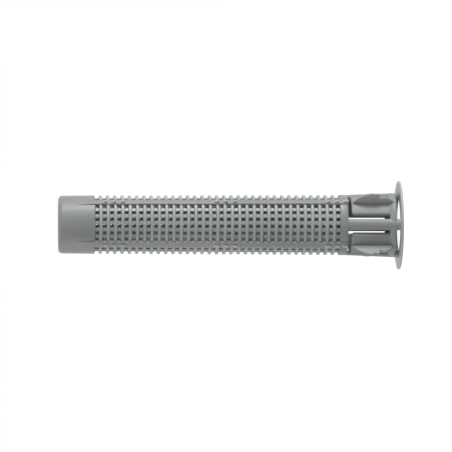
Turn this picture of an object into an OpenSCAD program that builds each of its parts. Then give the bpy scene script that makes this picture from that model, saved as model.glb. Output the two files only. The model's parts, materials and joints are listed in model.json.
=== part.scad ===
// Perforated sleeve for an injection anchor in hollow masonry.
// One plastic moulding: flange, slotted neck with centring wings, mesh tube, closed cap.
// It stands on the outer face of its flange, with its axis along +Z.

/* [Sleeve] */
// Length from the outer face of the flange to the closed end
sleeve_len = 85.6; // [80:0.1:130]
// Diameter of the straight bore from the open mouth to the collar
mouth_d = 13; // [12.2:0.1:13.2]
// Diameter at the bottom of the bore, inside the cap
bottom_d = 12.1; // [11:0.1:12.6]

/* [Flange] */
// Outer diameter of the flange
flange_d = 22.2; // [21.6:0.2:28]
// Thickness of the flange
flange_t = 0.5; // [0.4:0.1:2]
// Bevel around both edges of the rim
flange_bevel = 0.12; // [0.05:0.01:0.18]

/* [Neck] */
// Outer diameter over the struts where they meet the flange
neck_d = 16.2; // [15.9:0.1:17]
// Outer diameter of the foot ring
foot_d = 15.8; // [15.4:0.1:15.8]
// Open gap between the flange and the foot ring
foot_gap = 0.9; // [0.5:0.1:2]
// Length of the foot ring, which carries the tongues
foot_len = 1.7; // [1.2:0.1:3]
// Length of the slots between the foot ring and the collar
slot_len = 10.4; // [10:0.2:14]
// Clear gap between the tip of a tongue and the collar
tip_gap = 0.9; // [0.5:0.1:1]
// Width of each of the four struts that carry the flange
strut_w = 2.8; // [2:0.1:3.4]
// Width of each of the four tongues
tongue_w = 6.14; // [4.5:0.02:6.2]
// Outer diameter over the tongues
tongue_d = 15; // [14.8:0.1:15.2]
// Rounding of the corners at the tip of a tongue
tongue_round = 0.5; // [0.2:0.1:1]
// Turn of the struts and tongues about the axis, against the rails
slot_turn = -3; // [-4:0.5:4]
// Outer diameter of the solid collar above the slots
collar_d = 15.14; // [15:0.02:15.4]
// Length of the collar
collar_len = 1.95; // [1.2:0.05:4]

/* [Wings] */
// Diameter over the tips of the four centring wings
wing_d = 21.3; // [20:0.1:21.5]
// Radius of the round edge of a wing on the side of the cap
wing_edge_r = 6.2; // [5.8:0.1:6.3]
// Radius of the round edge on the side of the flange
wing_back_r = 6.8; // [6.2:0.1:6.8]
// Thickness of a wing
wing_t = 0.45; // [0.3:0.05:0.8]
// Turn of the wings about the axis, against the rails
wing_turn = -2; // [-4:0.5:4]
// Depth of the step beside the tip of a wing, on the side of the flange
step_depth = 0.55; // [0.4:0.05:0.6]
// Length over which the edge rises again from the step
step_len = 0.65; // [0.4:0.05:0.8]
// Distance from the step to the notch
notch_drop = 1.2; // [1:0.1:2]
// Depth of the notch
notch_depth = 1.4; // [0.8:0.1:1.6]
// Length over which the edge rises again from the notch
notch_len = 1.3; // [0.8:0.1:1.6]
// Set-back of the round edge on the side of the flange
edge_back = 0.5; // [0.4:0.05:0.7]

/* [Mesh] */
// Outer diameter over the hoops next to the collar
mesh_d = 15.1; // [14.8:0.02:15.3]
// Outer diameter over the hoops next to the cap
cap_d = 14.58; // [14.2:0.02:14.8]
// Number of hoops around the tube
hoops = 33; // [28:1:36]
// Width of a hoop at its crest
hoop_crest = 0.65; // [0.4:0.05:0.8]
// Width of a hoop at its root
hoop_root = 0.95; // [0.85:0.05:1.1]
// Height of a hoop above the bars
hoop_h = 0.65; // [0.3:0.05:0.7]
// Number of flutes inside, which leave the lengthwise bars between them
flutes = 24; // [16:4:24]
// Width of a flute
flute_w = 0.85; // [0.5:0.05:0.95]
// Depth by which a flute passes the foot of the hoops, so that the mesh is open
break_through = 0.05; // [0.03:0.01:0.1]

/* [Cap] */
// Length of the closed cap at the far end
cap_len = 9; // [7:0.5:14]
// Outer diameter of the cap at its closed end
cap_end_d = 14.4; // [13.8:0.02:14.6]
// Thickness of the end wall
end_wall = 1.4; // [0.8:0.1:4]
// Rounding of the closed end
cap_round = 1; // [0.2:0.1:1.2]

/* [Rails and barbs] */
// Angle that each of the four solid rails covers
rail_angle = 12; // [8:0.5:16]
// Height of a rail above the hoops
rail_h = 0.3; // [0.1:0.05:0.4]
// Distance of the first barb from the edge of the collar
barb_start = 0.05; // [0.05:0.05:0.4]
// Number of barb groups along a rail
barb_groups = 3; // [1:1:3]
// Distance between barb groups
barb_group_pitch = 27.8; // [18:0.1:28]
// Number of barbs in a group
barbs = 3; // [1:1:4]
// Distance between the barbs of a group
barb_pitch = 2.2; // [1.8:0.1:3]
// Length of a barb along the rail
barb_len = 1.45; // [0.8:0.05:1.7]
// Height of a barb above the rail
barb_h = 0.6; // [0.3:0.05:1]
// Thickness of a barb
barb_t = 0.6; // [0.3:0.05:1]
// Turn of the barbs about the axis, against the rails
barb_turn = -1.5; // [-3:0.5:3]

/* [Hidden] */
$fn = 96;

// Depth to which shapes of the one moulding run into each other
fuse = 0.2;
// Reach of a cutter past what it cuts
past = 1;
// Struts, tongues, rails and wings all come four to the turn
quarters = 4;
half_quarter = 180 / quarters;
// Straight pieces that make a rounded corner, and the round edge of a wing
corner_steps = 6;
edge_steps = 8;

flange_r = flange_d / 2;
mouth_r = mouth_d / 2;
bottom_r = bottom_d / 2;
neck_r = neck_d / 2;
foot_r = foot_d / 2;
tongue_r = tongue_d / 2;
collar_r = collar_d / 2;
wing_r = wing_d / 2;
mesh_r = mesh_d / 2;
cap_r = cap_d / 2;
cap_end_r = cap_end_d / 2;

foot_z = flange_t + foot_gap;
slot_z = foot_z + foot_len;
collar_z = slot_z + slot_len;
tongue_z = collar_z - tip_gap;
mesh_z = collar_z + collar_len;
straight_z = collar_z + collar_len / 2;
cap_z = sleeve_len - cap_len;
cap_round_z = sleeve_len - cap_round;
bore_z = sleeve_len - end_wall;

hoop_pitch = (cap_z - mesh_z + hoop_crest) / (hoops + 1);
groove_top = hoop_pitch - hoop_crest;
groove_foot = hoop_pitch - hoop_root;
flute_pitch = 360 / flutes;

// The wings stand on the tongues and the foot ring, half-way along the two
wing_z = (foot_z + tongue_z) / 2;
wing_root_r = tongue_r - fuse;
notch_z = wing_z - notch_drop;

// Radius on a straight taper through [z0, r0] and [z1, r1]
function taper(z, z0, r0, z1, r1) = r0 + (r1 - r0) * (z - z0) / (z1 - z0);
function neck_at(z) = taper(z, 0, neck_r, collar_z, collar_r);
function mesh_at(z) = taper(z, mesh_z, mesh_r, cap_z, cap_r);
function cap_at(z) = taper(z, cap_z, cap_r, cap_round_z, cap_end_r);
function bar_at(z) = mesh_at(z) - hoop_h;
function rail_at(z) = mesh_at(z) + rail_h;

// Quarter of a circle from +X round to +Y, as points about a centre
function corner(c, r) = [
    for (s = [0 : corner_steps])
        let (a = 90 * s / corner_steps)
        c + r * [cos(a), sin(a)]
];

// The four points of the groove below hoop i, from its lower edge to its upper one
function groove(i) = let (
        low = mesh_z + i * hoop_pitch,
        high = low + groove_top,
        slope = (groove_top - groove_foot) / 2
    ) [
        [mesh_at(low), low],
        [bar_at(low + slope), low + slope],
        [bar_at(high - slope), high - slope],
        [mesh_at(high), high]
    ];

// Point at height z on an arc whose crest is level with the middle of the wing
function wing_edge(z, crest, r) = [crest - r + sqrt(pow(r, 2) - pow(z - wing_z, 2)), z];
function wing_arc(z0, z1, crest, r, steps) = [
    for (s = [0 : steps])
        wing_edge(z0 + (z1 - z0) * s / steps, crest, r)
];
// Length of such an arc from its crest to the root of the wing
function wing_half(crest, r) = sqrt(pow(r, 2) - pow(wing_root_r - crest + r, 2));

// Copies its children around the axis
module around(copies, turn = 0) {
    for (i = [0 : copies - 1])
        rotate([0, 0, turn + i * 360 / copies])
            children();
}

// Stands an outline of radius and height upright and gives it a thickness
module blade(thickness, outline) {
    rotate([90, 0, 0])
        linear_extrude(height = thickness, center = true)
            polygon(outline);
}

module flange() {
    outline = [
        [0, 0],
        [flange_r - flange_bevel, 0],
        [flange_r, flange_bevel],
        [flange_r, flange_t - flange_bevel],
        [flange_r - flange_bevel, flange_t],
        [0, flange_t]
    ];
    rotate_extrude()
        polygon(outline);
}

// Four struts run from the flange past the foot ring to the collar
module struts() {
    strut_z = flange_t / 2;
    intersection() {
        translate([0, 0, strut_z])
            cylinder(
                h = collar_z + fuse - strut_z,
                r1 = neck_at(strut_z),
                r2 = neck_at(collar_z + fuse)
            );
        around(quarters, slot_turn)
            translate([0, -strut_w / 2, 0])
                cube([neck_r + past, strut_w, collar_z + past]);
    }
}

module foot_ring() {
    outline = [
        [0, foot_z],
        [foot_r, foot_z],
        [foot_r, foot_z + foot_len / 2],
        [tongue_r, slot_z],
        [0, slot_z]
    ];
    rotate_extrude()
        polygon(outline);
}

// A tongue seen from outside, with round corners at its tip
module tongue_outline() {
    c = [tongue_w / 2 - tongue_round, tongue_z - tongue_round];
    right = corner(c, tongue_round);
    left = [for (i = [corner_steps : -1 : 0]) [-right[i][0], right[i][1]]];
    foot = slot_z - fuse;
    polygon(concat([[tongue_w / 2, foot]], right, left, [[-tongue_w / 2, foot]]));
}

module tongues() {
    intersection() {
        translate([0, 0, foot_z])
            cylinder(h = collar_z - foot_z, r = tongue_r);
        around(quarters, half_quarter + slot_turn)
            rotate([90, 0, 90])
                linear_extrude(height = tongue_r + past)
                    tongue_outline();
    }
}

module wing() {
    back_r = wing_r - edge_back;
    top = wing_z + wing_half(wing_r, wing_edge_r);
    bottom = wing_z - wing_half(back_r, wing_back_r);
    step_foot = [wing_r - step_depth, wing_z];
    notch_foot = wing_edge(notch_z, wing_r, wing_edge_r) - [notch_depth, 0];
    outline = concat(
        wing_arc(top, wing_z, wing_r, wing_edge_r, edge_steps),
        [step_foot],
        wing_arc(wing_z - step_len, notch_z, wing_r, wing_edge_r, 1),
        [notch_foot],
        wing_arc(notch_z - notch_len, bottom, back_r, wing_back_r, edge_steps)
    );
    blade(wing_t, outline);
}

// Collar, hooped tube and cap, as one turned shape that is still solid inside
module tube() {
    outline = concat(
        [[0, collar_z], [collar_r, collar_z], [collar_r, mesh_z]],
        [for (i = [0 : hoops]) each groove(i)],
        corner([cap_end_r - cap_round, cap_round_z], cap_round),
        [[0, sleeve_len]]
    );
    rotate_extrude()
        polygon(outline);
}

// A rail runs over the collar and dies out in the side of the cap
module rail() {
    start_z = collar_z;
    end_z = cap_round_z - cap_round;
    inner = bottom_r - past;
    outline = [
        [inner, start_z],
        [rail_at(start_z), start_z],
        [rail_at(cap_z), cap_z],
        [cap_at(end_z) - rail_h / 4, end_z],
        [inner, end_z]
    ];
    rotate([0, 0, -rail_angle / 2])
        rotate_extrude(angle = rail_angle)
            polygon(outline);
}

// A barb rises from the rail towards the flange and ends there in a steep face
module barb(z) {
    root_r = rail_at(z) - fuse - rail_h;
    outline = [
        [root_r, z],
        [rail_at(z) + barb_h, z],
        [rail_at(z + barb_len), z + barb_len],
        [root_r, z + barb_len]
    ];
    blade(barb_t, outline);
}

module barb_row() {
    for (g = [0 : barb_groups - 1])
        for (i = [0 : barbs - 1])
            barb(collar_z + barb_start + g * barb_group_pitch + i * barb_pitch);
}

// Straight as far as the middle of the collar, then narrowing to the end wall
module bore() {
    outline = [
        [0, -past],
        [mouth_r, -past],
        [mouth_r, straight_z],
        [bottom_r, bore_z],
        [0, bore_z]
    ];
    rotate_extrude()
        polygon(outline);
}

// A flute follows the taper of the tube
module flute() {
    outline = [
        [bottom_r - past, mesh_z],
        [bar_at(mesh_z) + break_through, mesh_z],
        [bar_at(cap_z) + break_through, cap_z],
        [bottom_r - past, cap_z]
    ];
    blade(flute_w, outline);
}

module sleeve() {
    color([0.58, 0.595, 0.59])
        difference() {
            union() {
                flange();
                struts();
                foot_ring();
                tongues();
                tube();
                around(quarters, half_quarter + wing_turn)
                    wing();
                around(quarters, half_quarter)
                    rail();
                around(quarters, half_quarter + barb_turn)
                    barb_row();
            }
            bore();
            around(flutes, flute_pitch / 2)
                flute();
        }
}

sleeve();
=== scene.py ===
"""Perforated anchor sleeve of moulded grey plastic, standing on its flange in a white studio."""

import json
import math

import bmesh
import bpy
from mathutils import Matrix, Vector


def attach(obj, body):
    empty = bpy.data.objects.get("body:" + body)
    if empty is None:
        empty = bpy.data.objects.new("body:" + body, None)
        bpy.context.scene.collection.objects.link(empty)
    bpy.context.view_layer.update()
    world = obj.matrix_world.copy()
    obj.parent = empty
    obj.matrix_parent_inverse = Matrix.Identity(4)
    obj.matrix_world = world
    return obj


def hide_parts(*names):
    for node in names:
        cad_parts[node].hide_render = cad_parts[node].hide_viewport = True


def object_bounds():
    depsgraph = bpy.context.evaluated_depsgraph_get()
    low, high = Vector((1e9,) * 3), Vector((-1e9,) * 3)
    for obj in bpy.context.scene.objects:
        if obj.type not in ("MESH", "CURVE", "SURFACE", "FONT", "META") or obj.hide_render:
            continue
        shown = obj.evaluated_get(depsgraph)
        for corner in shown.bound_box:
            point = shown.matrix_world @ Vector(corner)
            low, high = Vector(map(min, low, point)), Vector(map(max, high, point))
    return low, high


bl_info = {
    "name": "Anchor sleeve",
    "version": (1, 0, 0),
    "blender": (4, 5, 0),
    "location": "View3D > Sidebar > Sleeve",
    "description": "Moulded anchor sleeve with hoops, barbs and wings, and its studio",
    "category": "Add Mesh",
}

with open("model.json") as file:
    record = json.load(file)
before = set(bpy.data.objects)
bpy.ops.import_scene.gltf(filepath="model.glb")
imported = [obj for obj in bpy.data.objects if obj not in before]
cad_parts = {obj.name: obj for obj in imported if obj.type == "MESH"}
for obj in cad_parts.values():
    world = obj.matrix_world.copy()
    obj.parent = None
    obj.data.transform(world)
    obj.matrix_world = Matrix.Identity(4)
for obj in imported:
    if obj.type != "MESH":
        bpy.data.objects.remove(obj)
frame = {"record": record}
CAD_BOX = [list(corner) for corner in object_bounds()]
BORE = next(mount for mount in frame["record"]["mounts"] if mount["name"] == "bore")

CAD_NODE = "sleeve"
MOULDING = "sleeve_moulding"
PLASTIC = "grey_plastic"
# Paler copies of the one grey plastic for the mesh, barbs, wings and flange: painted light for the
# light that passes through their thin walls
THIN_PAINTED_LIGHT = "thin_grey_plastic"
WING_PAINTED_LIGHT = "wing_grey_plastic"
FLANGE_PAINTED_LIGHT = "flange_grey_plastic"
SKINS = (PLASTIC, THIN_PAINTED_LIGHT, WING_PAINTED_LIGHT, FLANGE_PAINTED_LIGHT)
QUARTERS = 4
QUARTER_TURN = math.radians(90)
HALF_QUARTER = QUARTER_TURN / 2
MM = 0.001
# Corners of a ring sit three degrees apart, so that rails and hoops share them
RING_CORNERS = 120
RING_STEP = 2 * math.pi / RING_CORNERS
AXIS_GAP = 1e-7
# Corners of an outline that turn by less than this stay as they are
SHARP_TURN = math.radians(20)
# Share of a side that the rounding of a corner may take
SIDE_SHARE = 0.45
# Faces that meet at more than this keep a crisp edge
CRISP_TURN = math.radians(32)
# Depth to which shapes of the one moulding run into each other
SUNK = 0.02 * MM
# Range that holds nearly all values of a noise
NOISE_LOW, NOISE_HIGH = 0.3, 0.7
# Width of the camera's sensor in millimetres
SENSOR_WIDTH = 36
# Nearest and farthest distance that the camera sees
CLIP_RANGE = (0.01, 100)
WHITE = (1, 1, 1, 1)
# Width, height and place of each soft light
LIGHTS = {
    "key": ((0.2, 0.12), (0.574, -0.226, 0.06)),
    "front": ((0.5, 0.12), (0.486, -0.369, 0.06)),
    "fill": ((0.5, 0.3), (-0.59, -0.08, 0.16)),
    "end": ((0.5, 0.5), (-0.25, -0.2, 0.7)),
}


def length(name, description, default):
    """A length in metres."""
    return bpy.props.FloatProperty(
        name=name,
        description=description,
        default=default,
        min=0,
        precision=5,
        unit="LENGTH",
    )


def angle(name, description, degrees):
    """An angle, with its default in degrees."""
    return bpy.props.FloatProperty(
        name=name,
        description=description,
        default=math.radians(degrees),
        subtype="ANGLE",
    )


def colour(name, description, default):
    """A colour in linear red, green and blue."""
    return bpy.props.FloatVectorProperty(
        name=name,
        description=description,
        default=default,
        size=3,
        min=0,
        max=1,
        subtype="COLOR",
    )


def share(name, description, default, top=1.0):
    """A plain number from nought to a top."""
    return bpy.props.FloatProperty(
        name=name, description=description, default=default, min=0, max=top
    )


def count(name, description, default, least=1):
    """A whole number of like shapes."""
    return bpy.props.IntProperty(name=name, description=description, default=default, min=least)


def power(name, description, default):
    """The power of a light in watts."""
    return bpy.props.FloatProperty(
        name=name, description=description, default=default, min=0, unit="POWER"
    )


class TubeSizes(bpy.types.PropertyGroup):
    """Sizes of the bore, the mesh and the cap"""

    height: length("Height", "Length of the sleeve", CAD_BOX[1][2])
    mouth_radius: length("Mouth radius", "Radius of the straight bore", BORE["dims"]["r_mm"] * MM)
    bottom_radius: length("Bottom radius", "Radius of the bore at the end wall", 6.05 * MM)
    straight_top: length(
        "Straight bore", "Height at which the bore starts to narrow", BORE["dims"]["length_mm"] * MM
    )
    end_wall: length("End wall", "Thickness of the end wall", 1.4 * MM)
    collar_foot: length("Collar foot", "Height of the lower edge of the collar", 13.5 * MM)
    collar_radius: length("Collar radius", "Outer radius of the collar", 7.57 * MM)
    mesh_foot: length("Mesh foot", "Height at which the mesh starts", 15.45 * MM)
    mesh_radius: length("Mesh radius", "Radius over the hoops beside the collar", 7.55 * MM)
    cap_foot: length("Cap foot", "Height at which the cap starts", 76.6 * MM)
    cap_radius: length("Cap radius", "Radius over the hoops beside the cap", 7.29 * MM)
    cap_end_radius: length("Cap end radius", "Radius of the cap at its end", 7.2 * MM)
    cap_round: length("Cap rounding", "Rounding of the closed end", 1 * MM)
    hoops: count("Hoops", "Hoops between collar and cap", 33)
    hoop_crest: length("Hoop crest", "Width of a hoop at its crest", 0.65 * MM)
    hoop_root: length("Hoop root", "Width of a hoop at its root", 0.95 * MM)
    hoop_height: length("Hoop height", "Height of a hoop above the bars", 0.65 * MM)
    hoop_round: length("Hoop rounding", "Rounding of a hoop's crest", 0.16 * MM)
    flutes: count("Flutes", "Flutes inside, between the bars", 24, 4)
    flute_width: length("Flute width", "Width of a flute", 0.85 * MM)


class RailSizes(bpy.types.PropertyGroup):
    """Sizes of the rails and their barbs"""

    width: angle("Rail width", "Angle that a rail covers", 12)
    height: length("Rail height", "Height of a rail above the hoops", 0.3 * MM)
    groups: count("Barb groups", "Groups of barbs along a rail", 3)
    group_pitch: length("Group pitch", "Distance between groups", 27.8 * MM)
    barbs: count("Barbs", "Barbs in a group", 3)
    barb_pitch: length("Barb pitch", "Distance between barbs", 2.2 * MM)
    barb_start: length("Barb start", "Distance of the first barb from the collar's edge", 0.05 * MM)
    barb_length: length("Barb length", "Length of a barb", 1.45 * MM)
    barb_height: length("Barb height", "Height of a barb above the rail", 0.6 * MM)
    barb_thickness: length("Barb thickness", "Thickness of a barb", 0.6 * MM)
    barb_turn: angle("Barb turn", "Turn of the barbs against the rails", -1.5)
    edge: length("Rail edges", "Rounding along the edges of a rail", 0.12 * MM)
    barb_edge: length("Barb edges", "Rounding of a barb's edges", 0.05 * MM)


class NeckSizes(bpy.types.PropertyGroup):
    """Sizes of the flange, struts, tongues and wings"""

    flange_radius: length("Flange radius", "Outer radius of the flange", CAD_BOX[1][0])
    flange_thickness: length("Flange thickness", "Thickness of the flange", 0.5 * MM)
    rim_edge: length("Rim edge", "Rounding of the flange's edges", 0.15 * MM)
    neck_radius: length("Neck radius", "Radius over the struts at the flange", 8.1 * MM)
    ring_foot: length("Ring foot", "Height of the lower edge of the foot ring", 1.4 * MM)
    ring_radius: length("Ring radius", "Outer radius of the foot ring", 7.9 * MM)
    ring_length: length("Ring length", "Length of the foot ring", 1.7 * MM)
    strut_width: length("Strut width", "Width of a strut", 2.8 * MM)
    strut_flat: length("Strut middle", "Half width of the level middle of a strut", 0.5 * MM)
    strut_fall: angle("Strut fall", "Slope of a strut's face beside its middle", 25)
    tongue_width: length("Tongue width", "Width of a tongue", 6.14 * MM)
    tongue_radius: length("Tongue radius", "Outer radius of the tongues", 7.5 * MM)
    tongue_tip: length("Tongue tip", "Height of the tip of a tongue", 12.6 * MM)
    tongue_round: length("Tongue rounding", "Rounding of a tongue's corners", 0.5 * MM)
    slot_turn: angle("Slot turn", "Turn of struts and tongues against the rails", -3)
    tongue_edge: length("Tongue edges", "Rounding along the edges of a tongue", 0.22 * MM)
    wing_turn: angle("Wing turn", "Turn of the wings against the rails", -2)
    wing_radius: length("Wing radius", "Radius over the tips of the wings", 10.65 * MM)
    wing_edge: length("Wing edge", "Radius of a wing's edge towards the cap", 6.2 * MM)
    wing_back: length("Wing back", "Radius of a wing's edge towards the flange", 6.8 * MM)
    wing_thickness: length("Wing thickness", "Thickness of a wing", 0.45 * MM)
    step_depth: length("Step depth", "Depth of the step beside the tip", 0.55 * MM)
    step_length: length("Step length", "Length over which the edge rises again", 0.65 * MM)
    notch_drop: length("Notch distance", "Distance from the step to the notch", 1.2 * MM)
    notch_depth: length("Notch depth", "Depth of the notch", 1.4 * MM)
    notch_length: length("Notch length", "Length over which the edge rises again", 1.3 * MM)
    edge_back: length("Edge set-back", "Set-back of the edge towards the flange", 0.5 * MM)
    soft_edge: length("Soft edge", "Rounding that the mould leaves on edges", 0.1 * MM)


class PlasticLook(bpy.types.PropertyGroup):
    """Colour and surface of the moulded plastic"""

    base: colour("Base colour", "Main colour of the plastic", (0.3, 0.316, 0.312))
    pale: colour("Pale flow", "Colour of paler flow marks", (0.335, 0.35, 0.345))
    deep: colour("Deep flow", "Colour of darker flow marks", (0.262, 0.278, 0.276))
    # How much paler each copy is made: painted light for light passing through thin walls, not a
    # paler plastic
    thin_painted_light_gain: share("Thin walls", "How much paler the mesh and barbs look", 1.5, 3)
    wing_painted_light_gain: share("Wings", "How much paler the wings look", 1.25, 3)
    flange_painted_light_gain: share("Flange", "How much paler the flange looks", 1.8, 3)
    roughness: share("Roughness", "Mean roughness of the surface", 0.42)
    roughness_spread: share("Roughness spread", "Change of roughness over the surface", 0.12)
    shine: share("Shine", "Specular level of the plastic", 0.36)
    grain: length("Grain", "Height of the fine mould grain", 0.012 * MM)
    draw_lines: length("Draw lines", "Height of lines along the axis", 0.008 * MM)
    flow_fineness: share("Flow fineness", "Flow marks in a metre", 110, 10000)
    flow_along: share("Flow along the axis", "Their fineness along the axis, as a share", 0.35)
    patch_fineness: share("Patch fineness", "Shiny patches in a metre", 260, 10000)
    line_fineness: share("Line fineness", "Draw lines in a metre across the axis", 1500, 10000)
    line_along: share("Lines along the axis", "Their fineness along the axis, as a share", 0.04)
    grain_fineness: share("Grain fineness", "Grains in a metre", 4200, 10000)


class StudioSetup(bpy.types.PropertyGroup):
    """Floor, lights and camera"""

    floor_size: length("Floor size", "Side of the floor", 60)
    floor_colour: colour("Floor colour", "Colour of the floor", (0.55, 0.55, 0.55))
    floor_white: share("Floor white", "Even white that the camera sees on the floor", 0.94)
    floor_shade: colour("Floor shade", "Paint that shows the shadow", (0.35, 0.35, 0.35))
    room_light: share("Room light", "Strength of the light from all sides", 0.2, 10)
    key_power: power("Key light", "Power of the key light", 2.1)
    front_power: power("Front light", "Power of the front light", 0.85)
    fill_power: power("Fill light", "Power of the fill light", 1.1)
    end_power: power("End light", "Power of the light over the cap", 1.05)
    camera_distance: length("Camera distance", "Distance of the camera from the axis", 1.064)
    camera_height: length("Camera height", "Height of the camera", 0.1071)
    camera_turn: angle("Camera turn", "Turn of the camera about the axis", 265.8)
    aim_height: length("Aim height", "Height of the point that it looks at", 0.04364)
    aim_offset: length("Aim offset", "Distance of that point from the axis along -X", 0.29 * MM)
    camera_roll: angle("Camera roll", "Turn of the camera about its own axis", 0.1)
    lens: bpy.props.FloatProperty(
        name="Lens",
        description="Focal length in millimetres",
        default=339.3,
        min=1,
        unit="CAMERA",
    )


def settings(name):
    """One group of settings of the scene."""
    return getattr(bpy.context.scene, name)


# Outlines and solids


def rounded(outline, reach, steps=3):
    """A closed outline with its corners rounded, and corners on the axis kept.

    reach is how far a corner is cut back, for all corners or one by one.
    """
    points = [Vector(p) for p in outline]
    reaches = reach if isinstance(reach, list) else [reach] * len(points)
    made = []
    for i, corner in enumerate(points):
        before = points[i - 1] - corner
        after = points[(i + 1) % len(points)] - corner
        cut = min(reaches[i], before.length * SIDE_SHARE, after.length * SIDE_SHARE)
        turn = before.angle(-after)
        if turn < SHARP_TURN or abs(corner[0]) < AXIS_GAP or cut < AXIS_GAP:
            made.append(corner)
            continue
        start = corner + before.normalized() * cut
        end = corner + after.normalized() * cut
        pull = math.cos(turn / 2)
        for s in range(steps + 1):
            t = s / steps
            shares = ((1 - t) ** 2, 2 * t * (1 - t) * pull, t**2)
            mixed = start * shares[0] + corner * shares[1] + end * shares[2]
            made.append(mixed / sum(shares))
    return made


def turned(shape, outline):
    """A turned solid from a closed outline of radius and height."""
    rings = []
    for radius, height in outline:
        places = [(0, 0, height)]
        if radius >= AXIS_GAP:
            turns = [i * RING_STEP for i in range(RING_CORNERS)]
            places = [(radius * math.cos(a), radius * math.sin(a), height) for a in turns]
        rings.append([shape.verts.new(place) for place in places])
    for low, high in zip(rings, rings[1:] + rings[:1]):
        if len(low) == len(high) == 1:
            continue
        for i in range(RING_CORNERS):
            j = (i + 1) % RING_CORNERS
            corners = [
                low[i % len(low)],
                low[j % len(low)],
                high[j % len(high)],
                high[i % len(high)],
            ]
            shape.faces.new(list(dict.fromkeys(corners)))


def lofted(shape, sections):
    """A solid from closed sections of as many points each, lowest first."""
    rings = [[shape.verts.new(p) for p in section] for section in sections]
    for low, high in zip(rings, rings[1:]):
        for i in range(len(low)):
            j = (i + 1) % len(low)
            shape.faces.new((low[i], low[j], high[j], high[i]))
    shape.faces.new(list(reversed(rings[0])))
    shape.faces.new(rings[-1])


def plate(outline, thickness, soft_edge):
    """A flat plate that stands on the XZ plane, with softened edges, as a bmesh."""
    shape = bmesh.new()
    front = [shape.verts.new((x, -thickness / 2, z)) for x, z in outline]
    back = [shape.verts.new((x, thickness / 2, z)) for x, z in outline]
    flats = {shape.faces.new(front), shape.faces.new(list(reversed(back)))}
    for i in range(len(outline)):
        j = (i + 1) % len(outline)
        shape.faces.new((front[j], front[i], back[i], back[j]))
    rims = [e for e in shape.edges if flats & set(e.link_faces)]
    bmesh.ops.bevel(
        shape,
        geom=rims,
        offset=soft_edge,
        segments=2,
        profile=0.5,
        affect="EDGES",
        clamp_overlap=True,
    )
    return shape


def merge(shape, part, turn=0.0):
    """Copies a part into the shape, turned about the axis."""
    spin = Matrix.Rotation(turn, 4, "Z")
    copies = {v: shape.verts.new(spin @ v.co) for v in part.verts}
    for face in part.faces:
        copy = shape.faces.new([copies[v] for v in face.verts])
        copy.material_index = face.material_index


def sector(radius_in, radius_out, half_width, height, soft_edge, flat=1.0, fall=0.0):
    """Section of a wall with parallel sides, cut from a tube.

    Its outer face can fall away to either side of a level middle.
    """
    steps = 8
    sweep = [half_width * (2 * s / steps - 1) for s in range(steps + 1)]
    drops = [math.tan(fall) * max(0, abs(y) - flat) for y in sweep]
    outline = [(math.sqrt(radius_out**2 - y**2) - drop, y) for y, drop in zip(sweep, drops)]
    outline += [(math.sqrt(radius_in**2 - y**2), -y) for y in sweep]
    reaches = [soft_edge] * len(sweep) + [soft_edge / 2] * len(sweep)
    return [(x, y, height) for x, y in rounded(outline, reaches)]


def wall_section(radius_in, inner, radius_out, outer, height, soft_edge):
    """Section between two arcs that reach the given angles to either side."""
    steps = 6
    sweep = [2 * s / steps - 1 for s in range(steps + 1)]
    turns = [(radius_out, outer * t) for t in sweep] + [(radius_in, -inner * t) for t in sweep]
    outline = [(radius * math.cos(a), radius * math.sin(a)) for radius, a in turns]
    return [(x, y, height) for x, y in rounded(outline, soft_edge)]


# Radii at a height


def along(height, low, low_radius, high, high_radius):
    """Radius on a straight taper between two heights."""
    return low_radius + (high_radius - low_radius) * (height - low) / (high - low)


def bore_at(tube, height):
    """Radius of the bore."""
    if height < tube.straight_top:
        return tube.mouth_radius
    top = tube.height - tube.end_wall
    return along(height, tube.straight_top, tube.mouth_radius, top, tube.bottom_radius)


def crest_at(tube, height):
    """Radius over the hoops."""
    return along(height, tube.mesh_foot, tube.mesh_radius, tube.cap_foot, tube.cap_radius)


def cap_at(tube, height):
    """Radius of the cap's side."""
    top = tube.height - tube.cap_round
    return along(height, tube.cap_foot, tube.cap_radius, top, tube.cap_end_radius)


# The moulding


def give_painted_light(part, skin):
    """Gives a part a paler copy of the plastic: painted light for the light that thin walls let
    through.
    """
    for face in part.faces:
        face.material_index = SKINS.index(skin)


def add_to_moulding(part):
    """Adds a bmesh to the one moulding, which is made on first use."""
    moulding = bpy.data.objects.get(MOULDING)
    if moulding is None:
        mesh = bpy.data.meshes.new(MOULDING)
        moulding = bpy.data.objects.new(MOULDING, mesh)
        bpy.context.scene.collection.objects.link(moulding)
    whole = bmesh.new()
    whole.from_mesh(moulding.data)
    merge(whole, part)
    whole.to_mesh(moulding.data)
    whole.free()
    part.free()


def four_times(part, turn=0.0):
    """The part once in each quarter, as a new bmesh."""
    shape = bmesh.new()
    for i in range(QUARTERS):
        merge(shape, part, turn + i * QUARTER_TURN)
    part.free()
    return shape


class SLEEVE_OT_flange(bpy.types.Operator):
    """Add the flange and the foot ring"""

    bl_idname = "sleeve.flange"
    bl_label = "Flange and foot ring"

    def execute(self, context):
        neck, tube = settings("sleeve_neck"), settings("sleeve_tube")
        disc = bmesh.new()
        flange = [
            (tube.mouth_radius, 0),
            (neck.flange_radius, 0),
            (neck.flange_radius, neck.flange_thickness),
            (tube.mouth_radius, neck.flange_thickness),
        ]
        turned(disc, rounded(flange, neck.rim_edge))
        # The disc is painted paler, as painted light for light passing through it
        give_painted_light(disc, FLANGE_PAINTED_LIGHT)
        add_to_moulding(disc)
        shape = bmesh.new()
        top = neck.ring_foot + neck.ring_length
        ring = [
            (tube.mouth_radius, neck.ring_foot),
            (neck.ring_radius, neck.ring_foot),
            (neck.ring_radius, neck.ring_foot + neck.ring_length / 2),
            (neck.tongue_radius, top),
            (tube.mouth_radius, top),
        ]
        turned(shape, rounded(ring, neck.soft_edge))
        add_to_moulding(shape)
        return {"FINISHED"}


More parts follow.
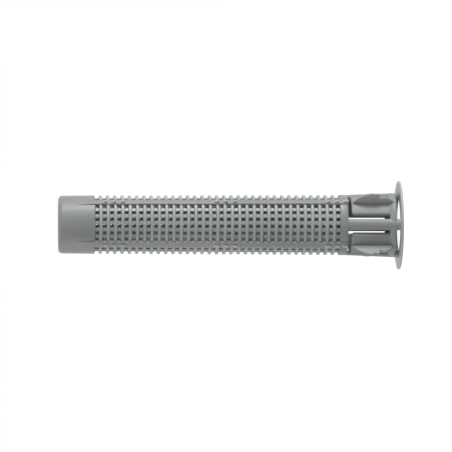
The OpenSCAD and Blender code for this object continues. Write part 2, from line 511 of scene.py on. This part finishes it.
class SLEEVE_OT_struts(bpy.types.Operator):
    """Add the four struts between the flange and the collar"""

    bl_idname = "sleeve.struts"
    bl_label = "Struts"

    def execute(self, context):
        neck, tube = settings("sleeve_neck"), settings("sleeve_tube")
        low, high = neck.flange_thickness / 2, tube.collar_foot + 2 * neck.soft_edge
        strut = bmesh.new()
        lofted(
            strut,
            [
                sector(
                    tube.mouth_radius + SUNK,
                    along(height, 0, neck.neck_radius, tube.collar_foot, tube.collar_radius),
                    neck.strut_width / 2,
                    height,
                    neck.soft_edge,
                    neck.strut_flat,
                    neck.strut_fall,
                )
                for height in (low, high)
            ],
        )
        add_to_moulding(four_times(strut, neck.slot_turn))
        return {"FINISHED"}


class SLEEVE_OT_tongues(bpy.types.Operator):
    """Add the four tongues with their round tips"""

    bl_idname = "sleeve.tongues"
    bl_label = "Tongues"

    def execute(self, context):
        neck, tube = settings("sleeve_neck"), settings("sleeve_tube")
        half = neck.tongue_width / 2
        low = neck.ring_foot + neck.ring_length / 2
        centre = neck.tongue_tip - neck.tongue_round
        levels = [(low, half, 0)]
        steps = 6
        # Share of the edge's rounding by which the wall thins at the very tip
        thinning = 0.6
        for s in range(steps + 1):
            bend = QUARTER_TURN * s / steps
            height = centre + neck.tongue_round * math.sin(bend)
            width = half - neck.tongue_round * (1 - math.cos(bend))
            left = neck.tongue_tip - height
            inset = max(0, neck.tongue_edge - left) * thinning
            levels.append((height, width - inset, inset))
        tongue = bmesh.new()
        lofted(
            tongue,
            [
                sector(
                    tube.mouth_radius + SUNK + inset,
                    neck.tongue_radius - inset,
                    width,
                    height,
                    neck.tongue_edge,
                )
                for height, width, inset in levels
            ],
        )
        add_to_moulding(four_times(tongue, HALF_QUARTER + neck.slot_turn))
        return {"FINISHED"}


class SLEEVE_OT_wings(bpy.types.Operator):
    """Add the four centring wings on the tongues"""

    bl_idname = "sleeve.wings"
    bl_label = "Wings"

    def execute(self, context):
        neck = settings("sleeve_neck")
        middle = (neck.ring_foot + neck.tongue_tip) / 2
        root = neck.tongue_radius - 2 * neck.soft_edge
        front = (neck.wing_radius, neck.wing_edge)
        back = (neck.wing_radius - neck.edge_back, neck.wing_back)

        def edge(height, crest, radius):
            """Point of a round edge at a height."""
            reach = radius**2 - (height - middle) ** 2
            return (crest - radius + math.sqrt(max(reach, 0)), height)

        def arc(start, end, steps, shape):
            """Points of a round edge between two heights."""
            return [edge(start + (end - start) * s / steps, *shape) for s in range(steps + 1)]

        def half(crest, radius):
            """Half the length of a round edge where it meets the tongue."""
            return math.sqrt(radius**2 - (root - crest + radius) ** 2)

        notch = middle - neck.notch_drop
        long_steps, short_steps, back_steps = 18, 2, 14
        outline = (
            arc(middle + half(*front), middle, long_steps, front)
            + [(neck.wing_radius - neck.step_depth, middle)]
            + arc(middle - neck.step_length, notch, short_steps, front)
            + [(edge(notch, *front)[0] - neck.notch_depth, notch)]
            + arc(notch - neck.notch_length, middle - half(*back), back_steps, back)
        )
        outline.reverse()
        wing = plate(outline, neck.wing_thickness, neck.soft_edge)
        # The wings are painted paler, as painted light for light passing through them
        give_painted_light(wing, WING_PAINTED_LIGHT)
        add_to_moulding(four_times(wing, HALF_QUARTER + neck.wing_turn))
        return {"FINISHED"}


class SLEEVE_OT_collar(bpy.types.Operator):
    """Add the solid collar above the slots"""

    bl_idname = "sleeve.collar"
    bl_label = "Collar"

    def execute(self, context):
        neck, tube = settings("sleeve_neck"), settings("sleeve_tube")
        slope = (tube.hoop_root - tube.hoop_crest) / 2
        foot = tube.mesh_foot + slope
        outline = [
            (tube.mouth_radius, tube.collar_foot),
            (tube.collar_radius, tube.collar_foot),
            (tube.collar_radius, tube.mesh_foot),
            (crest_at(tube, foot) - tube.hoop_height, foot),
            (bore_at(tube, tube.mesh_foot), tube.mesh_foot),
        ]
        shape = bmesh.new()
        turned(shape, rounded(outline, neck.soft_edge))
        add_to_moulding(shape)
        return {"FINISHED"}


class SLEEVE_OT_mesh(bpy.types.Operator):
    """Add the hoops and the lengthwise bars of the mesh"""

    bl_idname = "sleeve.mesh"
    bl_label = "Hoops and bars"

    def hoop(self, shape, tube, low):
        """One hoop with its crest starting at a height."""
        slope = (tube.hoop_root - tube.hoop_crest) / 2
        high = low + tube.hoop_crest
        foot_low = crest_at(tube, low - slope) - tube.hoop_height
        foot_high = crest_at(tube, high + slope) - tube.hoop_height
        outline = [
            (foot_low - SUNK, low - slope),
            (crest_at(tube, low), low),
            (crest_at(tube, high), high),
            (foot_high - SUNK, high + slope),
        ]
        turned(shape, rounded(outline, [0, tube.hoop_round, tube.hoop_round, 0]))

    def bar(self, tube):
        """One bar between two flutes."""
        half_pitch = math.pi / tube.flutes
        sections = []
        for height in (tube.mesh_foot - SUNK, tube.cap_foot + SUNK):
            inner = bore_at(tube, height) + SUNK
            outer = crest_at(tube, height) - tube.hoop_height
            sections.append(
                wall_section(
                    inner,
                    half_pitch - math.asin(tube.flute_width / 2 / inner),
                    outer,
                    half_pitch - math.asin(tube.flute_width / 2 / outer),
                    height,
                    tube.hoop_round / 2,
                )
            )
        bar = bmesh.new()
        lofted(bar, sections)
        return bar

    def execute(self, context):
        tube = settings("sleeve_tube")
        shape = bmesh.new()
        pitch = (tube.cap_foot - tube.mesh_foot + tube.hoop_crest) / (tube.hoops + 1)
        for i in range(tube.hoops):
            self.hoop(shape, tube, tube.mesh_foot + (i + 1) * pitch - tube.hoop_crest)
        bar = self.bar(tube)
        for i in range(tube.flutes):
            merge(shape, bar, i * 2 * math.pi / tube.flutes)
        bar.free()
        # The hoops and bars are painted paler, as painted light for light passing through the thin
        # mesh
        give_painted_light(shape, THIN_PAINTED_LIGHT)
        add_to_moulding(shape)
        return {"FINISHED"}


class SLEEVE_OT_rails(bpy.types.Operator):
    """Add the four solid rails and their barbs"""

    bl_idname = "sleeve.rails"
    bl_label = "Rails and barbs"

    def execute(self, context):
        tube, rail = settings("sleeve_tube"), settings("sleeve_rail")
        half = rail.width / 2
        fade = tube.height - 2 * tube.cap_round
        foot = tube.collar_foot + SUNK
        levels = [
            (foot, crest_at(tube, foot) + rail.height),
            (tube.cap_foot, crest_at(tube, tube.cap_foot) + rail.height),
            (fade, cap_at(tube, fade) - rail.height / 4),
        ]
        strip = bmesh.new()
        lofted(
            strip,
            [
                wall_section(
                    crest_at(tube, height) - tube.hoop_height - SUNK,
                    half,
                    outer,
                    half,
                    height,
                    rail.edge,
                )
                for height, outer in levels
            ],
        )
        shape = four_times(strip, HALF_QUARTER)
        for group in range(rail.groups):
            for i in range(rail.barbs):
                low = (
                    tube.collar_foot
                    + rail.barb_start
                    + group * rail.group_pitch
                    + i * rail.barb_pitch
                )
                high = low + rail.barb_length
                root, end = (crest_at(tube, z) + rail.height for z in (low, high))
                outline = [
                    (root - rail.height, low),
                    (root + rail.barb_height, low),
                    (end, high),
                    (root - rail.height, high),
                ]
                barb = plate(outline, rail.barb_thickness, rail.barb_edge)
                # The barbs are painted paler like the mesh, as painted light
                give_painted_light(barb, THIN_PAINTED_LIGHT)
                row = four_times(barb, HALF_QUARTER + rail.barb_turn)
                merge(shape, row)
                row.free()
        add_to_moulding(shape)
        return {"FINISHED"}


class SLEEVE_OT_cap(bpy.types.Operator):
    """Add the closed cap"""

    bl_idname = "sleeve.cap"
    bl_label = "Cap"

    def execute(self, context):
        tube, neck = settings("sleeve_tube"), settings("sleeve_neck")
        slope = (tube.hoop_root - tube.hoop_crest) / 2
        foot = tube.cap_foot - slope
        floor = tube.height - tube.end_wall
        corners = [
            ((bore_at(tube, tube.cap_foot), tube.cap_foot), 0),
            ((crest_at(tube, foot) - tube.hoop_height, foot), 0),
            ((tube.cap_radius, tube.cap_foot), neck.soft_edge),
            ((tube.cap_end_radius, tube.height), tube.cap_round),
            ((0, tube.height), 0),
            ((0, floor), 0),
            ((tube.bottom_radius, floor), tube.cap_round),
        ]
        outline, reaches = map(list, zip(*corners))
        shape = bmesh.new()
        turned(shape, rounded(outline, reaches, steps=7))
        add_to_moulding(shape)
        return {"FINISHED"}


# The plastic


def socket(node, name, value):
    """Sets the value of an input."""
    node.inputs[name].default_value = value


def made_node(tree, kind, label, x, y, **fields):
    """A new node with a label at a place in the node editor."""
    node = tree.nodes.new(kind)
    node.label, node.location = label, (x, y)
    for field, value in fields.items():
        setattr(node, field, value)
    return node


def noise(tree, label, fineness, detail, y, share_along=1.0):
    """Output of a noise in the object's own space, which can be drawn out along the axis."""
    spots = made_node(tree, "ShaderNodeTexNoise", label, -800, y)
    socket(spots, "Scale", fineness)
    socket(spots, "Detail", detail)
    vector = made_node(tree, "ShaderNodeTexCoord", "Place", -1200, y).outputs["Object"]
    if share_along < 1:
        drawn = made_node(tree, "ShaderNodeMapping", "Drawn out along the axis", -1000, y)
        socket(drawn, "Scale", (1, 1, share_along))
        tree.links.new(vector, drawn.inputs["Vector"])
        vector = drawn.outputs["Vector"]
    tree.links.new(vector, spots.inputs["Vector"])
    return spots.outputs["Fac"]


def bump(tree, label, relief, heights, x, y):
    """A bump of the given relief over a noise."""
    node = made_node(tree, "ShaderNodeBump", label, x, y)
    socket(node, "Distance", relief)
    tree.links.new(heights, node.inputs["Height"])
    return node


def plastic_material(name, look, painted_light_gain=1.0):
    """Grey moulded plastic with faint flow marks, draw lines and a fine grain, made paler by a gain
    above one as painted light.
    """
    material = bpy.data.materials.new(name)
    material.use_nodes = True
    tree = material.node_tree
    tree.nodes.clear()
    link = tree.links.new
    output = made_node(tree, "ShaderNodeOutputMaterial", "Output", 900, 0)
    plastic = made_node(tree, "ShaderNodeBsdfPrincipled", "Plastic", 600, 0)
    link(plastic.outputs[0], output.inputs[0])
    socket(plastic, "Specular IOR Level", look.shine)

    flow = noise(
        tree, "Flow marks", look.flow_fineness, detail=4, y=300, share_along=look.flow_along
    )
    tint = made_node(tree, "ShaderNodeValToRGB", "Flow colour", -500, 300)
    stops = tint.color_ramp.elements
    middle = (NOISE_LOW + NOISE_HIGH) / 2
    stops[0].position, stops[1].position = NOISE_LOW, NOISE_HIGH
    stops.new(middle)
    # A gain above one paints light onto the colour, for light passing through thin walls
    for stop, tone in zip(stops, (look.deep, look.base, look.pale)):
        stop.color = (*(painted_light_gain * c for c in tone), 1)
    link(flow, tint.inputs["Fac"])
    link(tint.outputs["Color"], plastic.inputs["Base Color"])

    patches = noise(tree, "Shiny patches", look.patch_fineness, detail=3, y=0)
    spread = made_node(tree, "ShaderNodeMapRange", "Roughness", -500, 0)
    socket(spread, "From Min", NOISE_LOW)
    socket(spread, "From Max", NOISE_HIGH)
    socket(spread, "To Min", look.roughness - look.roughness_spread / 2)
    socket(spread, "To Max", look.roughness + look.roughness_spread / 2)
    link(patches, spread.inputs["Value"])
    link(spread.outputs["Result"], plastic.inputs["Roughness"])

    lines = noise(
        tree, "Draw lines", look.line_fineness, detail=2, y=-300, share_along=look.line_along
    )
    grain = noise(tree, "Mould grain", look.grain_fineness, detail=2, y=-600)
    grain_bump = bump(tree, "Grain height", look.grain, grain, 0, -600)
    line_bump = bump(tree, "Line height", look.draw_lines, lines, 250, -400)
    link(grain_bump.outputs["Normal"], line_bump.inputs["Normal"])
    link(line_bump.outputs["Normal"], plastic.inputs["Normal"])
    return material


class SLEEVE_OT_finish(bpy.types.Operator):
    """Shade the moulding, give it its plastic and let it stand for the solid"""

    bl_idname = "sleeve.finish"
    bl_label = "Plastic finish"

    def execute(self, context):
        moulding = bpy.data.objects[MOULDING]
        mesh = moulding.data
        look = settings("sleeve_look")
        # Plain plastic, and paler copies that paint the light passing through thin walls
        for skin, painted_light_gain in zip(SKINS, (1, look.thin_painted_light_gain, look.wing_painted_light_gain, look.flange_painted_light_gain)):
            mesh.materials.append(plastic_material(skin, look, painted_light_gain))
        mesh.shade_smooth()
        mesh.set_sharp_from_angle(angle=CRISP_TURN)
        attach(moulding, "root")
        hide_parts(CAD_NODE)
        return {"FINISHED"}


# The studio


def seen_rays(tree):
    """Output that is 1 where the camera looks, also by way of gloss or glass."""
    rays = made_node(tree, "ShaderNodeLightPath", "Rays", -200, 500)
    gloss = made_node(tree, "ShaderNodeMath", "Camera or gloss", 0, 550, operation="MAXIMUM")
    glass = made_node(tree, "ShaderNodeMath", "Or glass", 150, 450, operation="MAXIMUM")
    tree.links.new(rays.outputs["Is Camera Ray"], gloss.inputs[0])
    tree.links.new(rays.outputs["Is Glossy Ray"], gloss.inputs[1])
    tree.links.new(gloss.outputs[0], glass.inputs[0])
    tree.links.new(rays.outputs["Is Transmission Ray"], glass.inputs[1])
    return glass.outputs[0]


def floor_material(setup):
    """Pale floor that the camera sees as white, with a faint shadow on it."""
    material = bpy.data.materials.new("pale_floor")
    material.use_nodes = True
    tree = material.node_tree
    tree.nodes.clear()
    link = tree.links.new
    output = made_node(tree, "ShaderNodeOutputMaterial", "Output", 600, 0)
    paint = made_node(tree, "ShaderNodeBsdfDiffuse", "Floor paint", -200, 200)
    socket(paint, "Color", (*setup.floor_colour, 1))
    shade = made_node(tree, "ShaderNodeBsdfDiffuse", "Shadow paint", -200, 0)
    socket(shade, "Color", (*setup.floor_shade, 1))
    white = made_node(tree, "ShaderNodeEmission", "White", -200, -200)
    socket(white, "Strength", setup.floor_white)
    seen = made_node(tree, "ShaderNodeAddShader", "What the camera sees", 100, -50)
    link(shade.outputs[0], seen.inputs[0])
    link(white.outputs[0], seen.inputs[1])
    choice = made_node(tree, "ShaderNodeMixShader", "Choice", 350, 0)
    link(seen_rays(tree), choice.inputs[0])
    link(paint.outputs[0], choice.inputs[1])
    link(seen.outputs[0], choice.inputs[2])
    link(choice.outputs[0], output.inputs[0])
    return material


def soft_light(name, watts, size, place, target):
    """A rectangular soft light that faces a point."""
    data = bpy.data.lights.new(name, "AREA")
    data.shape, data.size, data.size_y = "RECTANGLE", size[0], size[1]
    data.energy = watts
    light = bpy.data.objects.new(name, data)
    light.location = place
    light.rotation_mode = "QUATERNION"
    light.rotation_quaternion = (Vector(target) - Vector(place)).to_track_quat("-Z", "Y")
    bpy.context.scene.collection.objects.link(light)


def white_room(strength):
    """World that lights evenly and that the camera and gloss see as white."""
    world = bpy.data.worlds.new("white_room")
    bpy.context.scene.world = world
    world.use_nodes = True
    tree = world.node_tree
    tree.nodes.clear()
    link = tree.links.new
    output = made_node(tree, "ShaderNodeOutputWorld", "Output", 600, 0)
    even = made_node(tree, "ShaderNodeBackground", "Even light", 0, 100)
    socket(even, "Color", WHITE)
    socket(even, "Strength", strength)
    white = made_node(tree, "ShaderNodeBackground", "White", 0, -100)
    socket(white, "Color", WHITE)
    choice = made_node(tree, "ShaderNodeMixShader", "Choice", 300, 0)
    link(seen_rays(tree), choice.inputs[0])
    link(even.outputs[0], choice.inputs[1])
    link(white.outputs[0], choice.inputs[2])
    link(choice.outputs[0], output.inputs[0])


def photo_camera(setup):
    """A camera that looks across the sleeve, with its closed end to the left."""
    data = bpy.data.cameras.new("camera")
    data.lens, data.sensor_width = setup.lens, SENSOR_WIDTH
    data.clip_start, data.clip_end = CLIP_RANGE
    camera = bpy.data.objects.new("camera", data)
    place = Vector(
        (
            setup.camera_distance * math.cos(setup.camera_turn),
            setup.camera_distance * math.sin(setup.camera_turn),
            setup.camera_height,
        )
    )
    back = (place - Vector((-setup.aim_offset, 0, setup.aim_height))).normalized()
    right = (Vector((0, 0, -1)) + back * back.z).normalized()
    up = back.cross(right)
    turn = Matrix((right, up, back)).transposed() @ Matrix.Rotation(setup.camera_roll, 3, "Z")
    camera.matrix_world = Matrix.Translation(place) @ turn.to_4x4()
    bpy.context.scene.collection.objects.link(camera)
    return camera


class SLEEVE_OT_studio(bpy.types.Operator):
    """Add the floor, the lights and the camera"""

    bl_idname = "sleeve.studio"
    bl_label = "Studio"

    def execute(self, context):
        setup = settings("sleeve_studio")
        half = setup.floor_size / 2
        mesh = bpy.data.meshes.new("floor")
        mesh.from_pydata(
            [(-half, -half, 0), (half, -half, 0), (half, half, 0), (-half, half, 0)],
            [],
            [(0, 1, 2, 3)],
        )
        floor = bpy.data.objects.new("floor", mesh)
        mesh.materials.append(floor_material(setup))
        context.scene.collection.objects.link(floor)

        white_room(setup.room_light)
        for name, (size, place) in LIGHTS.items():
            soft_light(name, getattr(setup, f"{name}_power"), size, place, (0, 0, setup.aim_height))

        context.scene.camera = photo_camera(setup)
        context.scene.view_settings.view_transform = "Standard"
        return {"FINISHED"}


OPERATORS = (
    SLEEVE_OT_flange,
    SLEEVE_OT_struts,
    SLEEVE_OT_tongues,
    SLEEVE_OT_wings,
    SLEEVE_OT_collar,
    SLEEVE_OT_mesh,
    SLEEVE_OT_rails,
    SLEEVE_OT_cap,
    SLEEVE_OT_finish,
    SLEEVE_OT_studio,
)
GROUPS = {
    "sleeve_tube": TubeSizes,
    "sleeve_rail": RailSizes,
    "sleeve_neck": NeckSizes,
    "sleeve_look": PlasticLook,
    "sleeve_studio": StudioSetup,
}


class VIEW3D_PT_sleeve(bpy.types.Panel):
    """Lists the pieces of the sleeve and their settings"""

    bl_label = "Anchor sleeve"
    bl_space_type = "VIEW_3D"
    bl_region_type = "UI"
    bl_category = "Sleeve"

    def draw(self, context):
        for operator in OPERATORS:
            self.layout.operator(operator.bl_idname)
        for name, group in GROUPS.items():
            box = self.layout.box()
            box.label(text=group.__doc__)
            for field in group.__annotations__:
                box.prop(getattr(context.scene, name), field)


def register():
    """Makes the groups, the operators and the panel known."""
    for name, group in GROUPS.items():
        bpy.utils.register_class(group)
        setattr(bpy.types.Scene, name, bpy.props.PointerProperty(type=group))
    for item in (*OPERATORS, VIEW3D_PT_sleeve):
        bpy.utils.register_class(item)


def unregister():
    """Takes them all away again."""
    for item in reversed((*OPERATORS, VIEW3D_PT_sleeve)):
        bpy.utils.unregister_class(item)
    for name, group in reversed(list(GROUPS.items())):
        delattr(bpy.types.Scene, name)
        bpy.utils.unregister_class(group)


def main():
    """Builds the sleeve and its studio."""
    register()
    for operator in OPERATORS:
        family, name = operator.bl_idname.split(".")
        getattr(getattr(bpy.ops, family), name)()


if __name__ == "__main__":
    main()
